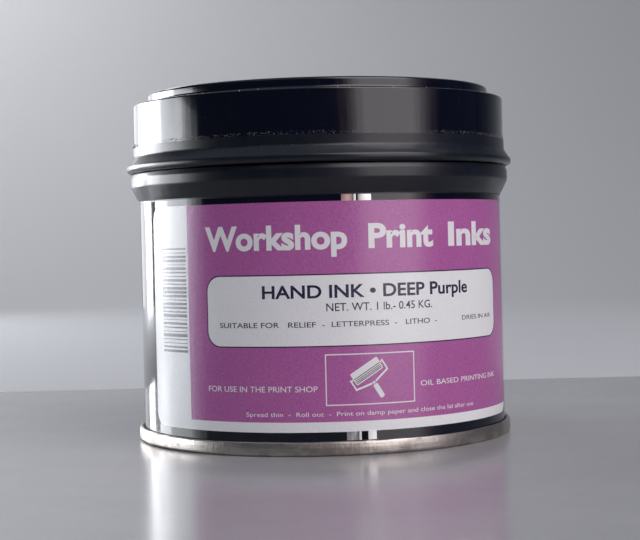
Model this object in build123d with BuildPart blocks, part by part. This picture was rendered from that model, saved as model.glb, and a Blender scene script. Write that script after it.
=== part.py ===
"""A one-pound printing-ink tin: a tinplate can with a slip-on lid, sealed round the joint with tape.

Millimetres. The origin is at the middle of the base, on the surface that the tin stands on. +Z is up, and
the middle of the label faces -Y. Every metal piece is pressed or rolled from thin sheet, so its section is
one face of the sheet, drawn as a line with rounded corners, and thickened to the other face.
"""
import os
from math import cos, degrees, radians, sin

from build123d import *

os.makedirs("parts", exist_ok=True)

# Sheet and can body
body_sheet = 0.25
end_sheet = 0.30
lid_sheet = 0.25
body_radius = 41.9
body_inner_radius = body_radius - body_sheet

# Double seam that joins the bottom end to the body, from the inside outwards
seam_gap = 0.14
seam_height = 3.0
crown_corner = 0.75
body_hook_outer_radius = body_radius + 2 * seam_gap + end_sheet + body_sheet
seam_outer_radius = body_hook_outer_radius + seam_gap + end_sheet
end_hook_inner_radius = body_radius + seam_gap
chuck_wall_radius = body_inner_radius - seam_gap - end_sheet
body_hook_low = end_sheet + seam_gap
body_hook_top = 2.45
end_hook_low = 1.1
body_hook_corner = 0.5
end_hook_corner = 0.5
seam_top_corner = 0.55
compound_low = 1.1
compound_high = 2.6

# Bottom end: a flat panel with one raised ring, inside a deeper groove
panel_height = 3.2
groove_height = 3.9
groove_inner_radius = 38.4
pressed_corner = 0.6
countersink_corner = 0.5
panel_ring_radius = 28.0
panel_ring_width = 3.0
panel_ring_rise = 0.5

# Bead that the lid's edge stops above, and the curl round the mouth
bead_outer_radius = 43.6
bead_low = 56.3
bead_high = 60.7
bead_flank = 1.4
bead_root_corner = 0.8
bead_edge_corner = 0.7
curl_top = 75.3
curl_outer_radius = 42.55
curl_depth = 0.8
curl_corner = 0.42

# Side seam, where the two edges of the rolled body lap
side_seam_from = -1.3
side_seam_to = 7.4
side_seam_low = 3.6
side_seam_high = 55.6
side_seam_sheet = 0.38

# Lid, given at its outer faces
skirt_radius = 43.0
ledge_height = 76.45
lid_crest = 78.95
rim_outer_radius = 39.6
rim_inner_radius = 35.3
lid_panel_height = 74.25
lid_panel_radius = 34.9
lid_curl_radius = 44.5
lid_curl_low = 61.1
lid_curl_high = 62.9
lid_curl_corner = 0.85
lid_curl_gap = 0.35
lid_shoulder = 0.45
lid_ring_radius = 27.5
lid_ring_width = 2.4
lid_ring_rise = 0.45
rim_foot_corner = 1.05
rim_inner_corner = 0.95
rim_outer_corner = 0.4
ledge_corner = 1.0

# Sealing compound in the lid's channel
gasket_inner_radius = 40.5
gasket_outer_radius = 42.45
gasket_clearance = 0.1
gasket_bevel = 0.3

# Contents
ink_top = 69.5
ink_slope = 1.0
paper_thickness = 0.12
paper_radius = 41.2
paper_gap = 0.1

# Label
label_width = 101.0
label_low = 4.9
label_high = 52.8
label_corner = 3.2
label_thickness = 0.1

# Tape, wound over the joint of lid and body, and parted in the crease between them
tape_thickness = 0.15
tape_top = 66.9
tape_bottom = 53.9
tape_flare_top = 64.5
tape_flare_foot = 62.35
tape_flare_corner = 1.5
tape_tuck_radius = 43.55
tape_crease_radius = 43.25
tape_crease_top = 60.6
tape_bead_top = 59.6
tape_bead_foot = 57.7
tape_bridge_radius = 42.55
tape_bridge_foot = 55.5
tape_grip_top = 54.3
tape_crease_corner = 0.8
tape_bead_corner = 1.0
tape_bridge_corner = 1.5
tape_grip_corner = 0.4
tape_play = 0.02


def sheet_section(points, corners, thickness, side):
    """Draws the section of a formed sheet: one face through the points, with its corners rounded."""
    with BuildLine() as outline:
        FilletPolyline(*points, radius=corners)
        offset(amount=thickness, side=side)
    make_face(outline.edges())


def ring_section(points):
    """Draws a closed section with straight sides."""
    with BuildLine() as outline:
        Polyline(*points, close=True)
    make_face(outline.edges())


# Can body: one rolled sheet, hooked into the bottom seam, beaded under the lid and curled at the mouth.
# The line is the sheet's inner face, from the tip of the hook up to the end of the curl.
with BuildPart() as can_body:
    with BuildSketch(Plane.XZ):
        sheet_section(
            [
                (body_hook_outer_radius, body_hook_top),
                (body_hook_outer_radius, body_hook_low),
                (body_inner_radius, body_hook_low),
                (body_inner_radius, bead_low),
                (bead_outer_radius - body_sheet, bead_low + bead_flank),
                (bead_outer_radius - body_sheet, bead_high - bead_flank),
                (body_inner_radius, bead_high),
                (body_inner_radius, curl_top),
                (curl_outer_radius, curl_top),
                (curl_outer_radius, curl_top - curl_depth),
            ],
            [
                body_hook_corner,
                body_hook_corner,
                bead_root_corner,
                bead_edge_corner,
                bead_edge_corner,
                bead_root_corner,
                curl_corner,
                curl_corner,
            ],
            body_sheet,
            Side.RIGHT,
        )
    revolve(axis=Axis.Z)
    # The side seam takes the place of the wall between its two angles.
    with BuildSketch(Plane.XZ.rotated((0, 0, side_seam_from - 90))):
        with Locations((body_radius - body_sheet / 2, (side_seam_low + side_seam_high) / 2)):
            Rectangle(2 * body_sheet, side_seam_high - side_seam_low)
    revolve(axis=Axis.Z, revolution_arc=side_seam_to - side_seam_from, mode=Mode.SUBTRACT)
can_body.part.label = "can_body"

# Side seam: the bare lap of the body sheet, flush outside and double inside.
with BuildPart() as side_seam:
    with BuildSketch(Plane.XZ.rotated((0, 0, side_seam_from - 90))):
        with Locations((body_radius - side_seam_sheet / 2, (side_seam_low + side_seam_high) / 2)):
            Rectangle(side_seam_sheet, side_seam_high - side_seam_low)
    revolve(axis=Axis.Z, revolution_arc=side_seam_to - side_seam_from)
side_seam.part.label = "side_seam"

# Bottom end: a pressed disc whose edge is rolled round the body's hook.
# The line is the face that is seen from below, from the middle out to the tip of the end hook.
with BuildPart() as bottom_end:
    with BuildSketch(Plane.XZ):
        sheet_section(
            [
                (0, panel_height),
                (panel_ring_radius - panel_ring_width, panel_height),
                (panel_ring_radius - panel_ring_width + panel_ring_rise, panel_height + panel_ring_rise),
                (panel_ring_radius + panel_ring_width - panel_ring_rise, panel_height + panel_ring_rise),
                (panel_ring_radius + panel_ring_width, panel_height),
                (groove_inner_radius - (groove_height - panel_height), panel_height),
                (groove_inner_radius, groove_height),
                (chuck_wall_radius, groove_height),
                (chuck_wall_radius, 0),
                (seam_outer_radius, 0),
                (seam_outer_radius, seam_height),
                (end_hook_inner_radius, seam_height),
                (end_hook_inner_radius, end_hook_low),
            ],
            6 * [pressed_corner]
            + [countersink_corner, crown_corner, crown_corner, seam_top_corner, end_hook_corner],
            end_sheet,
            Side.LEFT,
        )
    revolve(axis=Axis.Z)
bottom_end.part.label = "bottom_end"

# Seam compound: the film of rubber between the end's chuck wall and the body's wall.
with BuildPart() as seam_compound:
    with BuildSketch(Plane.XZ):
        with Locations((body_inner_radius - seam_gap / 2, (compound_low + compound_high) / 2)):
            Rectangle(seam_gap, compound_high - compound_low)
    revolve(axis=Axis.Z)
seam_compound.part.label = "seam_compound"

# Lid: a pressed cap with a recessed panel, a stacking rim, a ledge over the can's curl and a skirt whose
# edge is curled outwards. The line is the sheet's under face, from the middle out to the end of the curl.
skirt_inner_radius = skirt_radius - lid_sheet
panel_under = lid_panel_height - lid_sheet
ring_under = panel_under + lid_ring_rise
ring_inner = lid_ring_radius - lid_ring_width
ring_outer = lid_ring_radius + lid_ring_width
with BuildPart() as lid:
    with BuildSketch(Plane.XZ):
        sheet_section(
            [
                (0, panel_under),
                (ring_inner, panel_under),
                (ring_inner + lid_ring_rise, ring_under),
                (ring_outer - lid_ring_rise, ring_under),
                (ring_outer, panel_under),
                (lid_panel_radius + lid_sheet, panel_under),
                (rim_inner_radius + lid_sheet, lid_crest - lid_sheet),
                (rim_outer_radius - lid_sheet, lid_crest - lid_sheet),
                (rim_outer_radius - lid_sheet, ledge_height - lid_sheet),
                (skirt_inner_radius, ledge_height - lid_sheet),
                (skirt_inner_radius, lid_curl_low),
                (lid_curl_radius, lid_curl_low),
                (lid_curl_radius, lid_curl_high),
                (skirt_radius + lid_curl_gap, lid_curl_high),
            ],
            4 * [pressed_corner]
            + [
                rim_foot_corner,
                rim_inner_corner,
                rim_outer_corner,
                ledge_corner,
                lid_shoulder - lid_sheet,
                lid_curl_corner,
                lid_curl_corner,
                lid_curl_corner,
            ],
            lid_sheet,
            Side.LEFT,
        )
    revolve(axis=Axis.Z)
lid.part.label = "lid"

# Lid gasket: flowed-in sealing compound in the channel over the can's curl.
gasket_low = curl_top + gasket_clearance
channel_roof = ledge_height - lid_sheet
with BuildPart() as lid_gasket:
    with BuildSketch(Plane.XZ):
        ring_section(
            [
                (gasket_inner_radius, channel_roof),
                (gasket_inner_radius + gasket_bevel, gasket_low),
                (gasket_outer_radius, gasket_low),
                (gasket_outer_radius, channel_roof),
            ]
        )
    revolve(axis=Axis.Z)
lid_gasket.part.label = "lid_gasket"

# Ink: the charge fills the can from the bottom end to a little under the mouth.
ink_low = panel_height + end_sheet
groove_low = groove_height + end_sheet
with BuildPart() as ink:
    with BuildSketch(Plane.XZ):
        ring_section(
            [
                (0, ink_low + panel_ring_rise),
                (panel_ring_radius + panel_ring_width, ink_low + panel_ring_rise),
                (panel_ring_radius + panel_ring_width + ink_slope, ink_low),
                (groove_inner_radius - 2 * ink_slope, ink_low),
                (groove_inner_radius - ink_slope, groove_low),
                (body_inner_radius, groove_low),
                (body_inner_radius, ink_top),
                (0, ink_top),
            ]
        )
    revolve(axis=Axis.Z)
    add(side_seam.part, mode=Mode.SUBTRACT)
ink.part.label = "ink"

# Skin paper: a loose waxed disc that lies on the ink and keeps the air off it.
with BuildPart() as skin_paper:
    with BuildSketch(Plane.XY.offset(ink_top + paper_gap)):
        Circle(paper_radius)
    extrude(amount=paper_thickness)
skin_paper.part.label = "skin_paper"

# Label: one sheet of paper with round corners, glued round the front of the can. The corners are cut at each
# end by a frame that stands square to the wall there.
label_middle_radius = body_radius + label_thickness / 2
label_angle = degrees(label_width / label_middle_radius)
label_height = label_high - label_low
label_middle = (label_low + label_high) / 2
with BuildPart() as label:
    with BuildSketch(Plane.XZ.rotated((0, 0, -label_angle / 2 - 90))):
        with Locations((label_middle_radius, label_middle)):
            Rectangle(label_thickness, label_height)
    revolve(axis=Axis.Z, revolution_arc=label_angle)
    for end in (-1, 1):
        turn = radians(end * label_angle / 2)
        outwards = Vector(sin(turn), -cos(turn), 0)
        along = Vector(end * cos(turn), end * sin(turn), 0)
        corner = outwards * label_middle_radius + Vector(0, 0, label_middle)
        with BuildSketch(Plane(corner, x_dir=along, z_dir=outwards)):
            Rectangle(2 * label_corner, label_height + label_corner)
            with Locations((-4 * label_corner, 0)):
                RectangleRounded(8 * label_corner, label_height, label_corner, mode=Mode.SUBTRACT)
        extrude(amount=label_corner, both=True, mode=Mode.SUBTRACT)
label.part.label = "label"

# Upper tape: the half of the tape that grips the lid. It bridges from the skirt to the curl and turns
# under it. The line is the gummed face.
with BuildPart() as tape_upper:
    with BuildSketch(Plane.XZ):
        sheet_section(
            [
                (skirt_radius, tape_top),
                (skirt_radius, tape_flare_top),
                (lid_curl_radius + tape_play, tape_flare_foot),
                (lid_curl_radius + tape_play, lid_curl_low - tape_play),
                (tape_tuck_radius, lid_curl_low - tape_play),
            ],
            [tape_flare_corner, lid_curl_corner, lid_curl_corner],
            tape_thickness,
            Side.LEFT,
        )
    revolve(axis=Axis.Z)
tape_upper.part.label = "tape_upper"

# Lower tape: the half of the tape that grips the can. It bridges from the bead down to the wall.
with BuildPart() as tape_lower:
    with BuildSketch(Plane.XZ):
        sheet_section(
            [
                (tape_crease_radius, tape_crease_top),
                (bead_outer_radius, tape_bead_top),
                (bead_outer_radius, tape_bead_foot),
                (tape_bridge_radius, tape_bridge_foot),
                (body_radius, tape_grip_top),
                (body_radius, tape_bottom),
            ],
            [tape_crease_corner, tape_bead_corner, tape_bridge_corner, tape_grip_corner],
            tape_thickness,
            Side.LEFT,
        )
    revolve(axis=Axis.Z)
tape_lower.part.label = "tape_lower"

for piece in (
    can_body,
    side_seam,
    bottom_end,
    seam_compound,
    lid,
    lid_gasket,
    ink,
    skin_paper,
    label,
    tape_upper,
    tape_lower,
):
    export_step(piece.part, f"parts/{piece.part.label}.step")
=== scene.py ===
"""A one-pound printing-ink tin: its can, end, ink, paper, lid and tape, in the order they are put together.

Sizes are millimetres until a mesh is made. Heights are over the surface that the tin stands on, arcs are
measured round the wall from the middle of the label, and angles from -Y towards +X.
"""

import math
import random

import bmesh
import bpy
from mathutils import Matrix, Vector, noise


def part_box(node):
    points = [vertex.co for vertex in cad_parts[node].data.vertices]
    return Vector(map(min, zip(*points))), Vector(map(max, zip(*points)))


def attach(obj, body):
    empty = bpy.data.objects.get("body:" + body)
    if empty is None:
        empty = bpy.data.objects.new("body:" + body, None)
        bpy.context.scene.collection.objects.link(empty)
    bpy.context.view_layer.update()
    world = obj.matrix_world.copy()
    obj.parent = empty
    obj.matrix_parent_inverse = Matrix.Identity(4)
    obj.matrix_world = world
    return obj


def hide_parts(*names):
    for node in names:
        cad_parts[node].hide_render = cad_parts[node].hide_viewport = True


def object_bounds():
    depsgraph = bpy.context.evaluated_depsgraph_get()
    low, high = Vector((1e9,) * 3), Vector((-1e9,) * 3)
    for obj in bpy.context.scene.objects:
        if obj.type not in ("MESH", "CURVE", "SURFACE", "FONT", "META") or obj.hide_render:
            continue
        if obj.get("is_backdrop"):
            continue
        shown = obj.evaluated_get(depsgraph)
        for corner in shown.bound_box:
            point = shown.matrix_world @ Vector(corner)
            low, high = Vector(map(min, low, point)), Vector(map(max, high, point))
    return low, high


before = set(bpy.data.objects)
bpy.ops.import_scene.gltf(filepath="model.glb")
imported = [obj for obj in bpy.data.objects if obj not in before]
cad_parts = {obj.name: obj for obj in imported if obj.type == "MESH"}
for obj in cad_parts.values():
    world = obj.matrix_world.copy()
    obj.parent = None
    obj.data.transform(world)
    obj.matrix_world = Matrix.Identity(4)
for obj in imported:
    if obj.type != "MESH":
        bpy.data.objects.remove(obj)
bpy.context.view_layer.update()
MM = 0.001


# Can body. One blank of 0.25 mm tinplate, lacquered black outside and left bare with a clear lacquer inside,
# rolled to a cylinder, flanged at the foot for the double seam, beaded under the lid and curled at the mouth.
def sums(operation, *numbers):
    """A Math node on numbers, of which at least one is a wire."""
    tree = next(n for n in numbers if isinstance(n, Wire)).socket.id_data
    node = tree.nodes.new("ShaderNodeMath")
    node.operation = operation
    for target, number in zip(node.inputs, numbers):
        plug(target, number)
    return Wire(node.outputs[0])


class Wire:
    """An output of a node. A sum that is written with it adds Math nodes."""

    def __init__(self, socket):
        self.socket = socket

    def __abs__(self):
        return sums("ABSOLUTE", self)

    def rise(self, start, end):
        """0 up to start, 1 from end on, and a smooth step between them. It falls where end is the lower."""
        node = self.socket.id_data.nodes.new("ShaderNodeMapRange")
        node.interpolation_type = "SMOOTHSTEP"
        plug(node.inputs["Value"], self)
        node.inputs["From Min"].default_value = min(start, end)
        node.inputs["From Max"].default_value = max(start, end)
        node.inputs["To Min"].default_value = float(start > end)
        node.inputs["To Max"].default_value = float(start < end)
        return Wire(node.outputs["Result"])


SIGNS = {"add": "ADD", "sub": "SUBTRACT", "mul": "MULTIPLY", "truediv": "DIVIDE", "mod": "FLOORED_MODULO"}
for sign, operation in SIGNS.items():
    setattr(Wire, f"__{sign}__", lambda self, other, does=operation: sums(does, self, other))
    setattr(Wire, f"__r{sign}__", lambda self, other, does=operation: sums(does, other, self))


def plug(target, value):
    """Links a wire to a socket, or gives the socket its constant."""
    if isinstance(value, Wire):
        target.id_data.links.new(value.socket, target)
    else:
        target.default_value = value


class Recipe:
    """A node tree in the making."""

    def __init__(self, tree):
        self.tree = tree

    def add(self, kind, settings=None, inputs=None, output=0):
        """Adds a node: its settings first, then the values or links of its inputs."""
        node = self.tree.nodes.new(kind)
        for name, value in (settings or {}).items():
            setattr(node, name, value)
        for name, value in (inputs or {}).items():
            plug(node.inputs[name], value)
        return Wire(node.outputs[output])


class Finish(Recipe):
    """A material. The shader's constants are given by name, and what varies over the surface is laid on."""

    def __init__(self, name, **constants):
        self.material = bpy.data.materials.new(name)
        self.material.use_nodes = True
        super().__init__(self.material.node_tree)
        self.shader = self.tree.nodes["Principled BSDF"]
        for socket, value in constants.items():
            self.shader.inputs[socket.replace("_", " ")].default_value = value
        self.place = self.add("ShaderNodeTexCoord", output="Object")
        self.normal = None

    def axes(self):
        """Across, depth and height in millimetres."""
        across = self.add("ShaderNodeSeparateXYZ", inputs={0: self.place}, output=0)
        node = across.socket.node
        return across * 1000, Wire(node.outputs[1]) * 1000, Wire(node.outputs[2]) * 1000

    def round_the_can(self, radius):
        """Arc round the wall from the middle of the label, and height, in millimetres."""
        x, y, z = self.axes()
        return sums("ARCTAN2", x, 0 - y) * radius, z

    def grain(self, size, detail=2.0, roughness=0.5, stretch=(1, 1, 1), seed=0.0):
        """Noise from 0 to 1, whose features are about size millimetres."""
        inputs = {"Vector": self.place, "Location": (seed, seed * 0.7, 0)}
        drawn = self.add("ShaderNodeMapping", inputs=inputs)
        drawn.socket.node.inputs["Scale"].default_value = [s * 1000 / size for s in stretch]
        return self.add(
            "ShaderNodeTexNoise",
            inputs={"Vector": drawn, "Scale": 1.0, "Detail": detail, "Roughness": roughness},
        )

    def mix(self, share, under, over):
        """A colour that goes from under to over as share goes from 0 to 1."""
        return self.add("ShaderNodeMix", {"data_type": "RGBA"}, {0: share, 6: under, 7: over}, output=2)

    def emboss(self, height, depth):
        """Adds relief of that depth in millimetres to what is already there."""
        inputs = {"Height": height, "Distance": depth * MM, "Strength": 1.0}
        if self.normal:
            inputs["Normal"] = self.normal
        self.normal = self.add("ShaderNodeBump", inputs=inputs)
        plug(self.shader.inputs["Normal"], self.normal)

    def lay(self, **wires):
        """Links what varies over the surface to the shader."""
        for socket, value in wires.items():
            plug(self.shader.inputs[socket.replace("_", " ")], value)


def rounded(points, corners, step=math.radians(12)):
    """The points of a line whose corners are rounded to the given radii."""
    line = [Vector(points[0])]
    for before, here, after, radius in zip(points, points[1:], points[2:], corners):
        here = Vector(here)
        back = (Vector(before) - here).normalized()
        onward = (Vector(after) - here).normalized()
        half = back.angle(onward) / 2
        centre = here + (back + onward).normalized() * radius / math.sin(half)
        arm = here + back * radius / math.tan(half) - centre
        turn = math.copysign(math.pi - 2 * half, back.y * onward.x - back.x * onward.y)
        steps = max(2, math.ceil(abs(turn) / step))
        for i in range(steps + 1):
            line.append(centre + Matrix.Rotation(turn * i / steps, 2) @ arm)
    line.append(Vector(points[-1]))
    return line


def sheet_outline(points, corners, thickness):
    """The outline of a formed sheet: along one face, then back along the other, to the left of the first."""
    face = rounded(points, corners)
    other = []
    for i, here in enumerate(face):
        ahead = face[min(i + 1, len(face) - 1)] - here
        behind = here - face[max(i - 1, 0)]
        way = (ahead.normalized() + behind.normalized()).normalized()
        other.append(here + Vector((-way.y, way.x)) * thickness)
    edge = 0.2 * abs(thickness)
    end = face[-1] + (other[-1] - face[-1]).normalized() * edge
    end_other = other[-1] + (face[-1] - other[-1]).normalized() * edge
    start = face[0] + (other[0] - face[0]).normalized() * edge
    start_other = other[0] + (face[0] - other[0]).normalized() * edge
    if face[0].x < 0.001:
        return face + [end, end_other] + other[::-1], len(face)
    return face + [end, end_other] + other[::-1] + [start_other, start], len(face)


def tree_with(name, **inputs):
    """A new geometry tree with named inputs, and the outputs of its Group Input by name."""
    tree = bpy.data.node_groups.new(name, "GeometryNodeTree")
    for socket, kind in {"Geometry": "Geometry", **inputs}.items():
        tree.interface.new_socket(socket.replace("_", " "), in_out="INPUT", socket_type="NodeSocket" + kind)
    tree.interface.new_socket("Geometry", in_out="OUTPUT", socket_type="NodeSocketGeometry")
    given = tree.nodes.new("NodeGroupInput")
    return Recipe(tree), {s.name: Wire(s) for s in given.outputs if s.name}


def finish_tree(recipe, geometry):
    """Links the last geometry to the tree's output."""
    plug(recipe.tree.nodes.new("NodeGroupOutput").inputs["Geometry"], geometry)
    return recipe.tree


def random_value(recipe, low, high, seed):
    """A number for each point, between low and high."""
    bounds = {"Min": low, "Max": high, "Seed": seed}
    return recipe.add("FunctionNodeRandomValue", {"data_type": "FLOAT"}, bounds, output=1)


def linked(name, data):
    """A new object in the scene."""
    piece = bpy.data.objects.new(name, data)
    bpy.context.scene.collection.objects.link(piece)
    return piece


def grown(name, seed_mesh, tree, **inputs):
    """The plain mesh that a geometry tree makes of seed_mesh, as a new object."""
    piece = linked(name, seed_mesh)
    modifier = piece.modifiers.new(tree.name, "NODES")
    modifier.node_group = tree
    for socket in tree.interface.items_tree:
        key = socket.name.replace(" ", "_")
        if socket.in_out == "INPUT" and key in inputs:
            modifier[socket.identifier] = inputs[key]
    bpy.context.view_layer.update()
    made = bpy.data.meshes.new_from_object(piece.evaluated_get(bpy.context.evaluated_depsgraph_get()))
    piece.modifiers.remove(modifier)
    piece.data = made
    made.name = name
    return piece


# Turned sheet: the outline's points are turned about the tin's axis. Rows of the grid follow the outline and
# columns go round it, and the rows past the sheet's edge take the other face's finish.
recipe, given = tree_with(
    "turned_sheet", Turns="Int", Rows="Int", Other_From="Int", Face_Finish="Material", Other_Finish="Material"
)
outline_points = recipe.add(
    "GeometryNodeAttributeDomainSize", {"component": "MESH"}, {"Geometry": given["Geometry"]}
)
grid = recipe.add(
    "GeometryNodeMeshGrid", inputs={"Vertices X": given["Turns"] + 1, "Vertices Y": given["Rows"]}
)
number = recipe.add("GeometryNodeInputIndex")
outline_place = recipe.add(
    "GeometryNodeSampleIndex",
    {"data_type": "FLOAT_VECTOR", "domain": "POINT"},
    {
        "Geometry": given["Geometry"],
        "Value": recipe.add("GeometryNodeInputPosition"),
        "Index": (number % given["Rows"]) % outline_points,
    },
)
column = sums("FLOOR", (number + 0.5) / given["Rows"])
turned_place = recipe.add(
    "ShaderNodeVectorRotate",
    {"rotation_type": "Z_AXIS"},
    {"Vector": outline_place, "Angle": column / given["Turns"] * math.tau},
)
marked = recipe.add(
    "GeometryNodeStoreNamedAttribute",
    {"data_type": "INT", "domain": "FACE"},
    {"Geometry": grid, "Name": "row", "Value": number % (given["Rows"] - 1)},
)
moved = recipe.add("GeometryNodeSetPosition", inputs={"Geometry": marked, "Position": turned_place})
closed = recipe.add("GeometryNodeMergeByDistance", inputs={"Geometry": moved, "Distance": 1e-7})
real = recipe.add("GeometryNodeRealizeInstances", inputs={"Geometry": closed})
faced = recipe.add("GeometryNodeSetMaterial", inputs={"Geometry": real, "Material": given["Face Finish"]})
row = recipe.add("GeometryNodeInputNamedAttribute", {"data_type": "INT"}, {"Name": "row"})
past_edge = sums("GREATER_THAN", row + 0.5, given["Other From"])
both_faces = recipe.add(
    "GeometryNodeSetMaterial",
    inputs={"Geometry": faced, "Selection": past_edge, "Material": given["Other Finish"]},
)
turned_sheet = finish_tree(recipe, both_faces)


def turned(name, outline, face_finish, other_finish=None, other_from=10000, turns=288):
    """A closed piece, turned about the tin's axis from an outline of (radius, height)."""
    on_axis = outline[0][0] < 0.001
    profile = bpy.data.meshes.new(name + "_outline")
    profile.from_pydata([(r * MM, 0, z * MM) for r, z in outline], [], [])
    piece = grown(
        name,
        profile,
        turned_sheet,
        Turns=turns,
        Rows=len(outline) + (0 if on_axis else 1),
        Other_From=other_from,
        Face_Finish=face_finish.material,
        Other_Finish=(other_finish or face_finish).material,
    )
    facing_out(piece)
    return piece


def facing_out(piece, crease=35):
    """Turns a closed mesh's faces outwards and smooths it between its creases."""
    shape = bmesh.new()
    shape.from_mesh(piece.data)
    if shape.calc_volume(signed=True) < 0:
        bmesh.ops.reverse_faces(shape, faces=shape.faces)
    shape.to_mesh(piece.data)
    shape.free()
    piece.data.shade_smooth()
    piece.data.set_sharp_from_angle(angle=math.radians(crease))
    piece.data.update()


def reshaped(piece, rule):
    """Moves the points of a turned piece. The rule takes angle, radius and height, and gives the last two."""
    for vertex in piece.data.vertices:
        x, y, z = vertex.co / MM
        angle = math.atan2(x, -y)
        radius, height = rule(angle, math.hypot(x, y), z)
        vertex.co = Vector((radius * math.sin(angle), -radius * math.cos(angle), height)) * MM
    piece.data.update()


MEAN_RADIUS = 42.0


def ripple(angle, height, size, seed=0.0):
    """Smooth noise from -1 to 1 over the can's wall, with features of about size millimetres."""
    round_x = math.sin(angle) * MEAN_RADIUS / size
    round_y = math.cos(angle) * MEAN_RADIUS / size
    return noise.noise(Vector((round_x + seed, round_y - seed, height / size + 2 * seed)))


def placed(piece, body, slot, *nodes):
    """Gives a finished piece its body and hides the frame's nodes that it stands for. The slot is not used.
    """
    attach(piece, body)
    if nodes:
        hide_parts(*nodes)


black_lacquer = Finish("black_lacquer", IOR=1.5, Coat_Weight=0.35, Coat_Roughness=0.05)
smudge = black_lacquer.grain(9, detail=4, seed=3.1).rise(0.45, 0.72)
rub = black_lacquer.grain(1.1, detail=3, stretch=(1, 1, 0.16), seed=1.7).rise(0.62, 0.78)
lint = black_lacquer.grain(0.35, detail=1, seed=8.0).rise(0.79, 0.83)
black_lacquer.lay(
    Base_Color=black_lacquer.mix(
        sums("MAXIMUM", lint, rub * 0.1), (0.0012, 0.0018, 0.0085, 1), (0.055, 0.055, 0.06, 1)
    ),
    Roughness=0.085 + smudge * 0.07 + rub * 0.10 + lint * 0.3,
)
black_lacquer.emboss(black_lacquer.grain(0.9, detail=2, stretch=(1, 1, 0.06), seed=5.0), 0.009)
black_lacquer.emboss(black_lacquer.grain(0.4, detail=2, seed=11.0), 0.0035)
black_lacquer.emboss(black_lacquer.grain(3.2, detail=1, seed=2.0), 0.009)

inside_tin = Finish("inside_tin", Metallic=1.0)
rolling = inside_tin.grain(0.5, detail=3, stretch=(1, 1, 0.04), seed=4.0)
stain = inside_tin.grain(11, detail=4, seed=9.0)
inside_tin.lay(
    Base_Color=inside_tin.mix(stain.rise(0.3, 0.75), (0.66, 0.60, 0.48, 1), (0.55, 0.47, 0.33, 1)),
    Roughness=0.22 + rolling * 0.14 + stain * 0.08,
)
inside_tin.emboss(rolling, 0.002)

SHEET = 0.25
WALL = 41.9
mouth_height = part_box("can_body")[1].z / MM
bead_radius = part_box("can_body")[1].x / MM
inner_wall = WALL - SHEET
hook_radius, hook_head, hook_foot = 42.73, 2.45, 0.44
bead_foot, bead_head, bead_flank = 56.3, 60.7, 1.4
mouth_curl_radius, mouth_curl_drop, mouth_curl_corner = 42.55, 0.8, 0.42
can_outline, can_edge = sheet_outline(
    [
        (hook_radius, hook_head),
        (hook_radius, hook_foot),
        (inner_wall, hook_foot),
        (inner_wall, bead_foot),
        (bead_radius - SHEET, bead_foot + bead_flank),
        (bead_radius - SHEET, bead_head - bead_flank),
        (inner_wall, bead_head),
        (inner_wall, mouth_height),
        (mouth_curl_radius, mouth_height),
        (mouth_curl_radius, mouth_height - mouth_curl_drop),
    ],
    [0.5, 0.5, 0.8, 0.7, 0.7, 0.8, mouth_curl_corner, mouth_curl_corner],
    -SHEET,
)
can = turned("can_body_shell", can_outline, inside_tin, black_lacquer, can_edge)
wall_wave, wall_wave_length = 0.012, 26
reshaped(can, lambda angle, radius, z: (radius + wall_wave * ripple(angle, z, wall_wave_length), z))
placed(can, "can", "black_lacquer", "can_body")


# Side seam. The two edges of the blank lap and are soldered, and their margins are left free of lacquer. The
# left margin is dulled by flux, a dark gap runs along the lap, and the right margin is bright tin. The upper
# part of the left margin is tinted pink, which is a painted reflection.
def curtain(name, stations, low, high, back, finish, rows=60, waver=0.0):
    """A strip on the can's wall: its section is (arc, radius) stations, and it runs from low to high."""
    shape = bmesh.new()
    section = list(stations) + [(stations[-1][0], back), (stations[0][0], back)]
    rings = []
    for i in range(rows + 1):
        height = low + (high - low) * i / rows
        ring = []
        for arc, radius in section:
            shift = waver * noise.noise(Vector((0.3 * height, arc, 5.0)))
            angle = (arc + shift) / WALL
            place = Vector((radius * math.sin(angle), -radius * math.cos(angle), height))
            ring.append(shape.verts.new(place * MM))
        rings.append(ring)
    for lower, upper in zip(rings, rings[1:]):
        for j in range(len(section)):
            k = (j + 1) % len(section)
            shape.faces.new((lower[j], lower[k], upper[k], upper[j]))
    shape.faces.new(rings[0])
    shape.faces.new(rings[-1][::-1])
    mesh = bpy.data.meshes.new(name)
    shape.to_mesh(mesh)
    shape.free()
    mesh.materials.append(finish.material)
    piece = linked(name, mesh)
    facing_out(piece)
    return piece


seam_left, lap_start, gap_middle, seam_right = -0.95, 1.32, 2.35, 5.41
seam_margin = Finish("seam_margin", Metallic=1.0)
arc, height = seam_margin.round_the_can(WALL)
fluxed = arc.rise(lap_start + 0.2, lap_start - 0.2)
widening = height.rise(30, 10) * 0.5
gap = (abs(arc - gap_middle - widening) - widening).rise(0.34, 0.12)
inner_line = abs(arc - 1.42).rise(0.12, 0.04) + abs(arc - 0.62).rise(0.1, 0.03) * 0.6
solder = seam_margin.grain(0.9, detail=4, stretch=(1, 1, 0.25), seed=6.0)
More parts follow.
